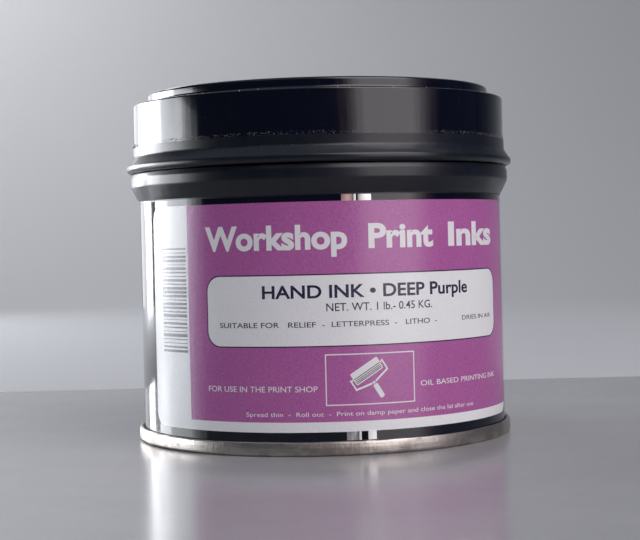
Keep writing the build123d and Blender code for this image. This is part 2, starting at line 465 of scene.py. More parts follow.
# The pink tone is a painted reflection. From 15 mm up to 40 mm and above, it takes over from the grey that is
# lower down.
pink_reflection_tone = seam_margin.mix(solder.rise(0.35, 0.7), (0.50, 0.30, 0.29, 1), (0.62, 0.42, 0.40, 1))
brushed = seam_margin.mix(solder.rise(0.3, 0.75), (0.60, 0.58, 0.60, 1), (0.30, 0.29, 0.31, 1))
margin_tone = seam_margin.mix(height.rise(15, 40), brushed, pink_reflection_tone)
tin_tone = seam_margin.mix(solder.rise(0.3, 0.8), (0.78, 0.77, 0.75, 1), (0.66, 0.65, 0.64, 1))
seam_tone = seam_margin.mix(fluxed, tin_tone, margin_tone)
seam_margin.lay(
    Base_Color=seam_margin.mix(gap + inner_line * 0.75, seam_tone, (0.012, 0.012, 0.014, 1)),
    Roughness=0.24 + solder * 0.16 + fluxed * 0.14 + gap * 0.3,
)
seam_margin.emboss(solder, 0.008)
side_seam = curtain(
    "side_seam_lap",
    [
        (seam_left, 41.905),
        (seam_left + 0.15, 41.93),
        (0.55, 41.94),
        (0.65, 41.925),
        (1.3, 41.945),
        (1.5, 41.975),
        (1.9, 41.985),
        (2.15, 41.97),
        (2.25, 41.91),
        (2.45, 41.905),
        (2.6, 41.93),
        (3.4, 41.95),
        (seam_right - 0.15, 41.935),
        (seam_right, 41.905),
    ],
    3.1,
    56.0,
    41.7,
    seam_margin,
    waver=0.05,
)
placed(side_seam, "can", "bare_tinplate", "side_seam")


# Bottom end. A disc of heavier bare tinplate, pressed with a countersink, a groove and one raised ring. Its
# edge is rolled round the body's hook and ironed flat, and bulges where it crosses the side seam.
end_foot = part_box("bottom_end")[0].z / MM
seam_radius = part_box("bottom_end")[1].x / MM
seam_height, seam_belly, end_hook_radius, end_hook_foot = 3.0, 1.75, 42.04, 1.1
panel, ring_top, groove_top = 3.2, 3.7, 3.9
ring_inner, ring_outer, ring_slope, groove_inner, countersink = 25.0, 31.0, 0.5, 37.7, 41.21
bottom_outline, bottom_edge = sheet_outline(
    [
        (0, panel),
        (ring_inner, panel),
        (ring_inner + ring_slope, ring_top),
        (ring_outer - ring_slope, ring_top),
        (ring_outer, panel),
        (groove_inner, panel),
        (groove_inner + 0.7, groove_top),
        (countersink, groove_top),
        (countersink, end_foot),
        (seam_radius - 0.05, end_foot),
        (seam_radius, seam_belly),
        (seam_radius - 0.2, seam_height),
        (end_hook_radius, seam_height),
        (end_hook_radius, end_hook_foot),
    ],
    [0.6, 0.6, 0.6, 0.6, 0.6, 0.6, 0.5, 0.75, 0.75, 0.3, 0.4, 0.4],
    0.3,
)
bare_tinplate = Finish("bare_tinplate", Metallic=1.0)
drawn = bare_tinplate.grain(0.45, detail=3, seed=2.0)
rolled = bare_tinplate.grain(0.6, detail=3, stretch=(0.05, 1, 1), seed=7.0)
tarnish = bare_tinplate.grain(7, detail=5, roughness=0.62, seed=11.0)
arc, height = bare_tinplate.round_the_can(seam_radius)


def marks(along, up, detail):
    """Noise over the seam's face, with that many features to a millimetre along it and up it."""
    face = bare_tinplate.add("ShaderNodeCombineXYZ", inputs={0: arc * along, 1: height * up})
    inputs = {"Vector": face, "Scale": 1.0, "Detail": detail}
    return bare_tinplate.add("ShaderNodeTexNoise", {"noise_dimensions": "2D"}, inputs)


chuck_marks = marks(1.4, 0.5, 2.0)
round_marks = marks(0.04, 5.0, 3.0)
across, depth, _ = bare_tinplate.axes()
out_at_the_seam = sums("SQRT", across * across + depth * depth).rise(41.0, 41.6)
on_the_seam = height.rise(3.4, 3.1) * out_at_the_seam
dulled = tarnish.rise(0.42, 0.7)
bare_tinplate.lay(
    Base_Color=bare_tinplate.mix(dulled, (0.55, 0.51, 0.475, 1), (0.29, 0.255, 0.23, 1)),
    Roughness=0.20 + rolled * 0.12 + dulled * 0.16 + chuck_marks * on_the_seam * 0.12,
)
bare_tinplate.emboss(rolled, 0.0025)
bare_tinplate.emboss(round_marks * on_the_seam, 0.05)
bare_tinplate.emboss(chuck_marks * on_the_seam, 0.05)
bare_tinplate.emboss(drawn, 0.0015)
SEAM_ANGLE = gap_middle / WALL


def ironed(angle, radius, z):
    """The seam's edge is a little uneven, and stands out and droops where it crosses the side seam."""
    if radius < 41.9:
        return radius, z
    off = (angle - SEAM_ANGLE + math.pi) % math.tau - math.pi
    crossing = math.exp(-((off * WALL / 2.2) ** 2))
    step = 0.5 + 0.5 * math.tanh(off * WALL / 0.35)
    upper = max(0.0, min(1.0, (z - 1.2) / 1.4))
    outer = max(0.0, min(1.0, (radius - 42.3) / 0.5))
    edge = 0.09 * ripple(angle, 0, 9, seed=3.0) + 0.04 * ripple(angle, 0, 2.2, seed=5.0)
    swell = 0.03 * ripple(angle, z, 7, seed=7.0) + 0.07 * crossing * (0.6 + 0.4 * step)
    lift = upper * (edge + 0.16 * crossing * (step - 0.45))
    return radius + outer * min(upper + 0.3, 1.0) * swell - 0.06 * outer, z + lift


bottom_end = turned("bottom_end_disc", bottom_outline, bare_tinplate, inside_tin, bottom_edge, turns=540)
reshaped(bottom_end, ironed)
placed(bottom_end, "can", "bare_tinplate", "bottom_end")


# Seam compound. A thin film of grey rubber, flowed into the end before seaming, that makes the seam tight.
compound = Finish("seam_rubber", Roughness=0.6)
cured = compound.grain(2.5, detail=3, seed=1.0)
compound.lay(Base_Color=compound.mix(cured, (0.34, 0.33, 0.30, 1), (0.24, 0.235, 0.22, 1)))
compound.emboss(cured, 0.02)
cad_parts["seam_compound"].data.materials.clear()
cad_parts["seam_compound"].data.materials.append(compound.material)


# Label. One sheet of white coated paper, 101 by 48 mm with round corners, printed purple but for a margin at
# the left and the foot and a panel in the middle, and glued round the front of the can.
PAPER = 0.1
LABEL_RADIUS = WALL + PAPER
LABEL_HALF = 50.5
label_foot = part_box("label")[0].z / MM
label_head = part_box("label")[1].z / MM
LABEL_CORNER = 3.2
PRINT = 0.018

# Laid on the can: flat artwork, drawn in millimetres as (arc, height, depth), is wrapped round the wall.
recipe, given = tree_with("laid_on_the_can", Radius="Float", Finish="Material")
flat_place = recipe.add("ShaderNodeSeparateXYZ", inputs={0: recipe.add("GeometryNodeInputPosition")})
flat_arc, flat_height, flat_depth = (Wire(s) for s in flat_place.socket.node.outputs)
lie = flat_arc / given["Radius"]
reach = (given["Radius"] + flat_depth) * MM
wrapped_place = recipe.add(
    "ShaderNodeCombineXYZ",
    inputs={0: reach * sums("SINE", lie), 1: 0 - reach * sums("COSINE", lie), 2: flat_height * MM},
)
wrapped = recipe.add(
    "GeometryNodeSetPosition", inputs={"Geometry": given["Geometry"], "Position": wrapped_place}
)
laid_real = recipe.add("GeometryNodeRealizeInstances", inputs={"Geometry": wrapped})
laid_on_the_can = finish_tree(
    recipe, recipe.add("GeometryNodeSetMaterial", inputs={"Geometry": laid_real, "Material": given["Finish"]})
)


STRIP = 0.8


def laid(name, flat, finish, thickness, sink=0.03):
    """Artwork on the can. A flat mesh is cut into upright strips, thickened and wrapped round the wall."""
    shape = bmesh.new()
    shape.from_mesh(flat)
    bmesh.ops.remove_doubles(shape, verts=shape.verts, dist=0.0005)
    left = min(v.co.x for v in shape.verts)
    right = max(v.co.x for v in shape.verts)
    for i in range(1, math.ceil((right - left) / STRIP)):
        everything = shape.verts[:] + shape.edges[:] + shape.faces[:]
        cut = (left + i * STRIP, 0, 0)
        bmesh.ops.bisect_plane(shape, geom=everything, plane_co=cut, plane_no=(1, 0, 0), dist=0.0005)
    for vertex in shape.verts:
        vertex.co.z = -sink
    grown_out = bmesh.ops.extrude_face_region(shape, geom=shape.faces[:])
    for part in grown_out["geom"]:
        if isinstance(part, bmesh.types.BMVert):
            part.co.z = thickness
    sheet = bpy.data.meshes.new(name + "_flat")
    shape.to_mesh(sheet)
    shape.free()
    piece = grown(name, sheet, laid_on_the_can, Radius=LABEL_RADIUS, Finish=finish.material)
    facing_out(piece)
    return piece


def flat_mesh(loops):
    """A flat mesh of filled outlines, given as lists of (arc, height). An outline may have one hole."""
    shape = bmesh.new()
    for loop in loops:
        edges = []
        for ring in loop if isinstance(loop[0], list) else [loop]:
            corners = [shape.verts.new((x, y, 0)) for x, y in ring]
            edges += [shape.edges.new(pair) for pair in zip(corners, corners[1:] + corners[:1])]
        bmesh.ops.triangle_fill(shape, edges=edges, use_beauty=True, normal=(0, 0, 1))
    mesh = bpy.data.meshes.new("flat")
    shape.to_mesh(mesh)
    shape.free()
    return mesh


def round_box(left, right, low, high, corner=0.0, steps=8):
    """The outline of a rectangle with round corners."""
    outline = []
    for turn, (x, y) in enumerate(
        [(right - corner, high - corner), (left + corner, high - corner)]
        + [(left + corner, low + corner), (right - corner, low + corner)]
    ):
        for i in range(steps + 1 if corner else 1):
            angle = (turn + i / steps) * math.pi / 2
            outline.append((x + corner * math.cos(angle), y + corner * math.sin(angle)))
    return outline


FIELD_LEFT, FIELD_LOW, BLUR = -36.9, 7.0, 0.03
PANEL = (-31.4, 42.4, 22.7, 37.6, 3.3)
label_print = Finish("label_print", IOR=1.6)
arc, height = label_print.round_the_can(LABEL_RADIUS)
fibre = label_print.grain(0.42, detail=3, roughness=0.6, seed=3.0)
mottle = label_print.grain(0.30, detail=2, seed=12.0)
cloud = label_print.grain(14, detail=2, seed=15.0)
in_field = arc.rise(FIELD_LEFT - BLUR, FIELD_LEFT + BLUR) * height.rise(FIELD_LOW - BLUR, FIELD_LOW + BLUR)
left, right, low, high, corner = PANEL
past_x = abs(arc - (left + right) / 2) - ((right - left) / 2 - corner)
past_y = abs(height - (low + high) / 2) - ((high - low) / 2 - corner)
reach_x, reach_y = sums("MAXIMUM", past_x, 0.0), sums("MAXIMUM", past_y, 0.0)
outside = sums("SQRT", reach_x * reach_x + reach_y * reach_y)
to_edge = outside + sums("MINIMUM", sums("MAXIMUM", past_x, past_y), 0.0) - corner
in_panel = to_edge.rise(BLUR, -BLUR)
on_outline = abs(to_edge).rise(0.16, 0.1)
purple = label_print.mix(
    (mottle * 0.75 + cloud * 0.25).rise(0.3, 0.7), (0.385, 0.092, 0.315, 1), (0.475, 0.145, 0.395, 1)
)
paper_tone = label_print.mix(fibre.rise(0.35, 0.75), (0.88, 0.88, 0.90, 1), (0.82, 0.82, 0.845, 1))
printed = label_print.mix(in_field * (1 - in_panel), paper_tone, purple)
label_print.lay(
    Base_Color=label_print.mix(on_outline, printed, (0.02, 0.018, 0.055, 1)),
    Roughness=0.19 + fibre * 0.10 + in_field * (1 - in_panel) * -0.03,
)
label_print.emboss(label_print.grain(1.3, detail=1, stretch=(1, 1, 0.7), seed=4.0), 0.022)
label_print.emboss(fibre, 0.006)
label = laid(
    "label_sheet",
    flat_mesh([round_box(-LABEL_HALF, LABEL_HALF, label_foot, label_head, LABEL_CORNER)]),
    label_print,
    0.0,
    sink=PAPER,
)
placed(label, "can", "label_paper", "label")


# Lettering. Plain words in place of the maker's: white where the purple ink leaves the paper bare, dark blue
# on the panel. Each line is set between its two ends and stands a hair over the sheet.
CAP_SHARE = 0.729


def lettering(name, lines, finish):
    """Lines of type: (words, left, right, foot, cap height, weight)."""
    meshes = []
    for words, left, right, foot, cap, weight in lines:
        line = bpy.data.curves.new(name, "FONT")
        line.body = words
        line.resolution_u = 5
        line.offset = weight
        letters = linked(name, line)
        bpy.context.view_layer.update()
        mesh = bpy.data.meshes.new_from_object(letters.evaluated_get(bpy.context.evaluated_depsgraph_get()))
        bpy.data.objects.remove(letters)
        start = min(v.co.x for v in mesh.vertices)
        end = max(v.co.x for v in mesh.vertices)
        tall = CAP_SHARE + 2 * weight
        for vertex in mesh.vertices:
            across = left + (vertex.co.x - start) / (end - start) * (right - left)
            vertex.co = Vector((across, foot + (vertex.co.y + weight) / tall * cap, 0))
        meshes.append(mesh)
    joined = bmesh.new()
    for mesh in meshes:
        joined.from_mesh(mesh)
    flat = bpy.data.meshes.new(name + "_flat")
    joined.to_mesh(flat)
    joined.free()
    placed(laid(name, flat, finish, PRINT), "can", "label_paper")


bare_paper = Finish("bare_paper", IOR=1.6)
fleck = bare_paper.grain(0.42, detail=3, roughness=0.6, seed=3.0)
bare_paper.lay(
    Base_Color=bare_paper.mix(fleck.rise(0.35, 0.75), (0.86, 0.85, 0.87, 1), (0.78, 0.77, 0.80, 1)),
    Roughness=0.22 + fleck * 0.1,
)
bare_paper.emboss(fleck, 0.006)
navy_ink = Finish("navy_ink", IOR=1.6)
press = navy_ink.grain(0.25, detail=2, seed=5.0)
navy_ink.lay(
    Base_Color=navy_ink.mix(press.rise(0.35, 0.8), (0.012, 0.010, 0.040, 1), (0.06, 0.055, 0.12, 1)),
    Roughness=0.20 + press * 0.12,
)
title_words = [("Workshop", -31.6, 0.1), ("Print", 4.6, 19.9), ("Inks", 24.2, 41.4)]
title_foot, title_cap, title_weight = 42.8, 5.55, 0.036
lettering("title_letters", [(*w, title_foot, title_cap, title_weight) for w in title_words], bare_paper)
lettering(
    "panel_letters",
    [
        ("HAND INK • DEEP Purple", -18.1, 30.0, 32.7, 2.9, 0.022),
        ("NET. WT. 1 lb.- 0.45 KG.", -4.6, 19.2, 29.95, 1.75, 0.006),
        ("SUITABLE FOR   RELIEF  -  LETTERPRESS  -   LITHO  -", -28.2, 20.4, 26.7, 1.15, 0.004),
        ("DRIES IN AIR", 28.0, 40.0, 26.85, 1.0, 0.0),
    ],
    navy_ink,
)
lettering(
    "small_letters",
    [
        ("FOR USE IN THE PRINT SHOP", -31.5, -6.8, 13.3, 1.25, 0.0),
        ("OIL BASED PRINTING INK", 15.8, 41.6, 13.6, 1.15, 0.0),
        (
            "Spread thin  -  Roll out  -  Print on damp paper and close the lid after use",
            *(-22.3, 31.2, 8.2, 0.95, 0.0),
        ),
    ],
    bare_paper,
)


# Device. A thin frame with a hand roller in it, which is the tool that this ink is spread with. It is left
# bare in the purple field, like the title, with a shaded side to the roller.
FRAME = (-5.15, 14.3, 10.35, 21.05)
LINE = 0.24
left, right, low, high = FRAME
centre_arc, centre_height = (left + right) / 2, (low + high) / 2


def tilted(points, turn=math.radians(32)):
    """Turns and moves an outline that is drawn about the middle of the device."""
    return [
        (
            centre_arc + x * math.cos(turn) - y * math.sin(turn),
            centre_height + x * math.sin(turn) + y * math.cos(turn),
        )
        for x, y in points
    ]


roller_parts = [
    tilted(round_box(-3.4, 3.4, 0.5, 3.3, 0.35)),
    tilted(round_box(-3.75, -3.5, 1.7, 2.1)),
    tilted(round_box(3.5, 3.75, 1.7, 2.1)),
    tilted([(-4.15, 2.2), (-4.15, -0.35), (-0.45, -1.1), (-0.45, -0.7), (-3.8, 0.0), (-3.8, 2.2)]),
    tilted([(4.15, 2.2), (3.8, 2.2), (3.8, 0.0), (0.45, -0.7), (0.45, -1.1), (4.15, -0.35)]),
    tilted(round_box(-0.55, 0.55, -4.6, -1.3, 0.4)),
    tilted(round_box(-0.3, 0.3, -1.15, -0.7)),
]
device_frame = [
    [
        round_box(left, right, low, high),
        round_box(left + LINE, right - LINE, low + LINE, high - LINE),
    ]
]
device = laid("device_roller", flat_mesh(device_frame + roller_parts), bare_paper, PRINT)
placed(device, "can", "label_paper")
shade_bars = [tilted(round_box(-3.2, 3.2, y, y + 0.16)) for y in (0.75, 1.05, 1.4, 1.8)]
shading = laid("device_shading", flat_mesh(shade_bars), navy_ink, PRINT + 0.008, sink=0.0)
placed(shading, "can", "label_paper")


# Bar pattern. A ladder of dark bars of uneven weight in the white margin, which reads as a stock code but
# holds no number.
recipe, given = tree_with(
    "bar_ladder", Bars="Int", Left="Float", Right="Float", Low="Float", High="Float", Seed="Int"
)
pitch = (given["High"] - given["Low"]) / given["Bars"]
bar = recipe.add(
    "GeometryNodeMeshGrid",
    inputs={"Size X": given["Right"] - given["Left"], "Size Y": pitch, "Vertices X": 12, "Vertices Y": 2},
)
rung = recipe.add(
    "GeometryNodeMeshLine",
    inputs={
        "Count": given["Bars"],
        "Start Location": recipe.add(
            "ShaderNodeCombineXYZ", inputs={0: (given["Left"] + given["Right"]) * 0.5, 1: given["Low"]}
        ),
        "Offset": recipe.add("ShaderNodeCombineXYZ", inputs={1: pitch}),
    },
)
weight = random_value(recipe, 0.16, 0.8, given["Seed"])
ladder = recipe.add(
    "GeometryNodeInstanceOnPoints",
    inputs={
        "Points": rung,
        "Instance": bar,
        "Scale": recipe.add("ShaderNodeCombineXYZ", inputs={0: 1.0, 1: weight, 2: 1.0}),
    },
)
bar_ladder = finish_tree(recipe, recipe.add("GeometryNodeRealizeInstances", inputs={"Geometry": ladder}))
blank = bpy.data.meshes.new("blank")
blank.from_pydata([(0, 0, 0)], [], [])
ladder_flat = grown("bars", blank, bar_ladder, Bars=27, Left=-46.5, Right=-37.5, Low=21.5, High=44.4, Seed=7)
bars = laid("bar_pattern", ladder_flat.data, navy_ink, PRINT)
bpy.data.objects.remove(ladder_flat)
placed(bars, "can", "label_paper")


# Ink. One pound of stiff purple oil ink, filled nearly to the mouth and struck off with a knife, which has
# left overlapping strokes with a ridge along each side.
ink_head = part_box("ink")[1].z / MM
ink_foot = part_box("ink")[0].z / MM
purple_ink = Finish("purple_ink", IOR=1.52, Coat_Weight=0.5, Coat_Roughness=0.06)
combed = purple_ink.grain(0.5, detail=3, stretch=(0.12, 1, 1), seed=1.5)
pool = purple_ink.grain(10, detail=3, seed=6.5)
purple_ink.lay(
    Base_Color=purple_ink.mix(pool.rise(0.35, 0.7), (0.085, 0.006, 0.062, 1), (0.15, 0.012, 0.105, 1)),
    Roughness=0.13 + combed * 0.14,
)
purple_ink.emboss(combed, 0.02)
INK_EDGE = 41.3
draw = random.Random(12)
strokes = []
for i in range(9):
    heading = math.radians(20 + draw.uniform(-24, 24) + (180 if i % 2 else 0))
    strokes.append((heading, draw.uniform(-32, 32), draw.uniform(6, 10), draw.uniform(0.15, 0.55)))


def knifed(angle, radius, z):
    """Height of the struck surface: each stroke flattens what was under it and piles a ridge at its sides."""
    if z < ink_head - 0.01 or radius > INK_EDGE:
        return radius, z
    x, y = radius * math.sin(angle), -radius * math.cos(angle)
    depth = 0.3 + 0.1 * noise.noise(Vector((x / 6, y / 6, 0.4)))
    for heading, middle, half, floor in strokes:
        across = -x * math.sin(heading) + y * math.cos(heading) - middle
        across += 1.2 * noise.noise(Vector((x / 14, y / 14, middle)))
        inside = 0.5 - 0.5 * math.tanh((abs(across) - half) / 0.5)
        ridge = math.exp(-(((abs(across) - half - 0.3) / 0.7) ** 2))
        flat = floor + 0.012 * across + 0.03 * noise.noise(Vector((across / 0.9, middle, heading)))
        depth += (flat - depth) * inside - 0.22 * ridge
    rim = math.exp(-((INK_EDGE - radius) / 1.2))
    return radius, ink_head - 0.02 - min(0.75, max(0.0, depth)) * (1 - 0.7 * rim)


rings = [(INK_EDGE * (1 - (i / 58) ** 0.9), ink_head) for i in range(1, 59)]
ink = turned(
    "ink_charge",
    [(0, ink_foot + 0.5), (31.0, ink_foot + 0.5), (32.0, ink_foot), (37.0, ink_foot), (37.8, ink_foot + 0.7)]
    + [(41.55, ink_foot + 0.7), (41.55, ink_head - 0.5), (INK_EDGE, ink_head)]
    + rings[:-1]
    + [(0, ink_head)],
    purple_ink,
)
reshaped(ink, knifed)
placed(ink, "can", "purple_ink", "ink")


# Skin paper. A loose disc of waxed paper laid on the ink to keep the air off. It is cockled, its edge lifts
# at the wall, and the oil has soaked through it in patches.
paper_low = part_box("skin_paper")[0].z / MM
paper_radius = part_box("skin_paper")[1].x / MM - 0.2
waxed_paper = Finish("waxed_paper", IOR=1.45, Coat_Weight=0.25, Coat_Roughness=0.2)
oil = waxed_paper.grain(13, detail=5, roughness=0.6, seed=2.2)
soaked = oil.rise(0.5, 0.62)
tide = abs(oil - 0.505).rise(0.02, 0.004)
pulp = waxed_paper.grain(1.4, detail=4, seed=7.7)
clean = waxed_paper.mix(pulp.rise(0.3, 0.7), (0.72, 0.68, 0.60, 1), (0.63, 0.585, 0.50, 1))
oily = waxed_paper.mix(soaked, clean, (0.36, 0.10, 0.28, 1))
waxed_paper.lay(
    Base_Color=waxed_paper.mix(tide * 0.6, oily, (0.42, 0.26, 0.30, 1)),
    Roughness=0.36 + pulp * 0.16 - soaked * 0.12,
)
waxed_paper.emboss(waxed_paper.grain(5, detail=4, roughness=0.6, seed=4.4), 0.12)


def cockled(angle, radius, z):
    """The disc is wavy, more so towards its edge, which lifts in a few long waves."""
    x, y = radius * math.sin(angle), -radius * math.cos(angle)
    share = (radius / paper_radius) ** 3
    wave = 0.5 + 0.5 * math.sin(3 * angle + 0.7) * math.cos(2 * angle)
    lift = 1.1 * share * wave + 0.25 * (1 + noise.noise(Vector((x / 9, y / 9, 1.0))))
    return radius, z + lift


paper_thickness, ring_count = 0.1, 40
paper_rings = [(paper_radius * i / ring_count, paper_low) for i in range(ring_count + 1)]
upper_face = [(r, z + paper_thickness) for r, z in paper_rings[::-1]]
skin_paper = turned("skin_paper_disc", paper_rings + upper_face, waxed_paper, turns=216)
reshaped(skin_paper, cockled)
placed(skin_paper, "skin_paper", "waxed_paper", "skin_paper")


# Lid. A cap pressed from 0.25 mm tinplate, lacquered black outside: a recessed panel with one ring, a rim for
# stacking, a ledge over the curl, and a skirt that slips over the mouth and ends in an outward curl.
SKIRT = 43.0
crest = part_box("lid")[1].z / MM
curl_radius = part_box("lid")[1].x / MM
curl_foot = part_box("lid")[0].z / MM
panel_under, ledge_under, curl_head = 74.0, 76.2, 62.9
lid_ring_inner, lid_ring_outer, lid_ring_rise = 25.1, 29.9, 0.45
rim_inner, rim_outer = 35.55, 39.35
lid_outline, lid_edge = sheet_outline(
    [
        (0, panel_under),
        (lid_ring_inner, panel_under),
        (lid_ring_inner + lid_ring_rise, panel_under + lid_ring_rise),
        (lid_ring_outer - lid_ring_rise, panel_under + lid_ring_rise),
        (lid_ring_outer, panel_under),
        (rim_inner - 0.4, panel_under),
        (rim_inner, crest - SHEET),
        (rim_outer, crest - SHEET),
        (rim_outer, ledge_under),
        (SKIRT - SHEET, ledge_under),
        (SKIRT - SHEET, curl_foot),
        (curl_radius, curl_foot),
        (curl_radius, curl_head),
        (SKIRT + 0.35, curl_head),
    ],
    [0.6, 0.6, 0.6, 0.6, 1.05, 0.95, 0.4, 1.0, 0.2, 0.85, 0.85, 0.85],
    SHEET,
)
lid = turned("lid_pressing", lid_outline, inside_tin, black_lacquer, lid_edge, turns=360)


def pressed(angle, radius, z):
    """The skirt is a little wavy, and the panel drums up by a hair in its middle."""
    drum = 0.10 * (1 - (radius / 25) ** 2) if radius < 25 else 0.0
    skirt = 1.0 if radius > 42 else 0.0
    return radius + skirt * 0.010 * ripple(angle, z, 17, seed=9.0), z + drum


reshaped(lid, pressed)
placed(lid, "lid", "black_lacquer", "lid")


# Lid gasket. A ring of the same cured compound, poured into the channel over the can's curl.
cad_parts["lid_gasket"].data.materials.clear()
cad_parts["lid_gasket"].data.materials.append(compound.material)


# Tape. One turn and a lap of satin black vinyl over the joint of lid and can, parted in the crease between
# them when the tin is first opened. Beads of gum stand at its edges, which waver a little.
black_tape = Finish("black_tape", IOR=1.42, Coat_Weight=0.25, Coat_Roughness=0.08)
arc, height = black_tape.round_the_can(44.0)
pull = black_tape.grain(1.6, detail=4, stretch=(1, 1, 0.5), seed=3.0)
skin = black_tape.grain(0.22, detail=2, seed=9.0)
handled = black_tape.grain(8, detail=4, seed=5.5).rise(0.4, 0.7)
dusty = black_tape.grain(0.4, detail=1, seed=14.0).rise(0.80, 0.84)
black_tape.lay(
    Base_Color=black_tape.mix(
        sums("MAXIMUM", dusty, pull * 0.1), (0.0013, 0.0028, 0.0095, 1), (0.07, 0.07, 0.078, 1)
    ),
    Roughness=0.29 + pull * 0.06 + handled * 0.06 + dusty * 0.3,
)
black_tape.emboss(pull, 0.012)
black_tape.emboss(skin, 0.004)
gummed = Finish("gummed_face", Roughness=0.5)
gummed.lay(Base_Color=gummed.mix(gummed.grain(2, seed=2.0), (0.05, 0.045, 0.04, 1), (0.02, 0.02, 0.02, 1)))

TAPE, BOND = 0.15, 0.01
LAP_ANGLE = math.radians(168)
tape_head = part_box("tape_upper")[1].z / MM
tape_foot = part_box("tape_lower")[0].z / MM
flare_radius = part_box("tape_upper")[1].x / MM - TAPE
bridge_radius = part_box("tape_lower")[1].x / MM - TAPE
lip_foot = 61.08
upper_outline, upper_edge = sheet_outline(
    [
        (SKIRT + BOND, tape_head),
        (SKIRT + BOND, 66.2),
        (SKIRT + BOND, 65.5),
        (SKIRT + BOND, 64.5),
        (44.0, 63.05),
        (flare_radius, 62.35),
        (flare_radius, lip_foot),
        (43.9, lip_foot),
        (43.55, lip_foot),
    ],
    [0.2, 0.2, 1.2, 0.3, 0.7, 0.8, 0.1],
    TAPE,
)
lower_outline, lower_edge = sheet_outline(
    [
        (43.25, 60.6),
        (bridge_radius, 59.6),
        (bridge_radius, 57.7),
        (43.1, 56.6),
        (42.6, 55.6),
        (42.3, 55.0),
        (WALL + BOND, 54.3),
        (WALL + BOND, tape_foot),
    ],
    [0.8, 1.0, 1.0, 1.0, 0.6, 0.4],
    TAPE,
)


def wrapped_round(angle, radius, z):
    """The tape's edges waver, it puckers where it bridges a step, and its end makes a small step."""
    off = (angle - LAP_ANGLE + math.pi) % math.tau - math.pi
    over_lap = 0.04 * (math.tanh(off * 60) - math.tanh((off - 0.42) * 60))
    waver = 0.16 * ripple(angle, 0, 16, seed=1.0) + 0.07 * ripple(angle, 0, 4, seed=6.0)
    if z > 61:
        share = max(0.0, min(1.0, (z - 65.3) / 1.4))
        bridge = math.exp(-(((z - 63.4) / 0.8) ** 2))
    else:
        share = max(0.0, min(1.0, (55.2 - z) / 1.2))
        bridge = math.exp(-(((z - 55.9) / 1.0) ** 2))
    pucker = 0.05 * ripple(angle, z, 5, seed=4.0) + 0.03 * ripple(angle, z * 0.4, 1.6, seed=8.0)
    radius = min(radius - 0.03 + bridge * (pucker - 0.03) + over_lap, flare_radius + TAPE)
    return radius, z + (waver - 0.2) * share * (1 if z > 61 else -1)


recipe, given = tree_with(
    "specks_round_the_tin",
    Count="Int",
    Radius="Float",
    Low="Float",
    High="Float",
    Smallest="Float",
    Largest="Float",
    Seed="Int",
    Finish="Material",
)
turn_at = random_value(recipe, 0.0, math.tau, given["Seed"])
height_at = random_value(recipe, given["Low"], given["High"], given["Seed"] + 1)
speck_place = recipe.add(
    "ShaderNodeCombineXYZ",
    inputs={
        0: given["Radius"] * sums("SINE", turn_at) * MM,
        1: given["Radius"] * sums("COSINE", turn_at) * -MM,
        2: height_at * MM,
    },
)
points = recipe.add("GeometryNodePoints", inputs={"Count": given["Count"], "Position": speck_place})
speck = recipe.add("GeometryNodeMeshIcoSphere", inputs={"Radius": MM, "Subdivisions": 1})
specks = recipe.add(
    "GeometryNodeInstanceOnPoints",
    inputs={
        "Points": points,
        "Instance": speck,
        "Scale": random_value(recipe, given["Smallest"], given["Largest"], given["Seed"] + 2),
    },
)
specks_real = recipe.add("GeometryNodeRealizeInstances", inputs={"Geometry": specks})
specks_round = finish_tree(
    recipe,
    recipe.add("GeometryNodeSetMaterial", inputs={"Geometry": specks_real, "Material": given["Finish"]}),
)
gum = Finish("gum_beads", Roughness=0.18)
gum.lay(Base_Color=gum.mix(gum.grain(0.5, seed=3.0), (0.08, 0.08, 0.085, 1), (0.32, 0.32, 0.33, 1)))
dust = Finish("dust", Roughness=0.8)
dust.lay(Base_Color=dust.mix(dust.grain(0.5, seed=5.0), (0.30, 0.29, 0.28, 1), (0.62, 0.60, 0.56, 1)))
SPECKS = ("Count", "Radius", "Low", "High", "Smallest", "Largest", "Seed")
for name, numbers in {
    "dust_on_shoulder": (60, 42.86, 76.26, 76.4, 0.03, 0.17, 21),
    "gum_at_edge": (2200, 43.0, 66.6, 67.45, 0.02, 0.09, 3),
    "gum_at_crease": (700, 43.16, 64.4, 64.65, 0.02, 0.07, 8),
}.items():
    loose = name.startswith("dust")
    finish = dust if loose else gum
    beads = grown(name, blank, specks_round, Finish=finish.material, **dict(zip(SPECKS, numbers)))
    facing_out(beads, crease=80)
    placed(beads, "lid", "black_lacquer" if loose else "black_tape")
tape_upper = turned("tape_upper_band", upper_outline, gummed, black_tape, upper_edge, turns=432)
reshaped(tape_upper, wrapped_round)
placed(tape_upper, "lid", "black_tape", "tape_upper")
tape_lower = turned("tape_lower_band", lower_outline, gummed, black_tape, lower_edge, turns=432)
reshaped(tape_lower, wrapped_round)
placed(tape_lower, "can", "black_tape", "tape_lower")


# Studio. The tin stands on a plain pale bench, with a pale sheet far behind it. A tall window at the left
# makes the hard white edge, a bright wall the soft one beside it, and a dim screen the grey at the right.
CAMERA_TURN, CAMERA_ROLL = -7.4, -1.42
CAMERA_DISTANCE, CAMERA_HEIGHT = 0.36, 0.04494


def around(azimuth, distance, height=0.0):
    """A place at an angle from the camera's side of the tin, to the left if negative."""
    angle = math.radians(CAMERA_TURN + azimuth)
    return Vector((distance * math.sin(angle), -distance * math.cos(angle), height))


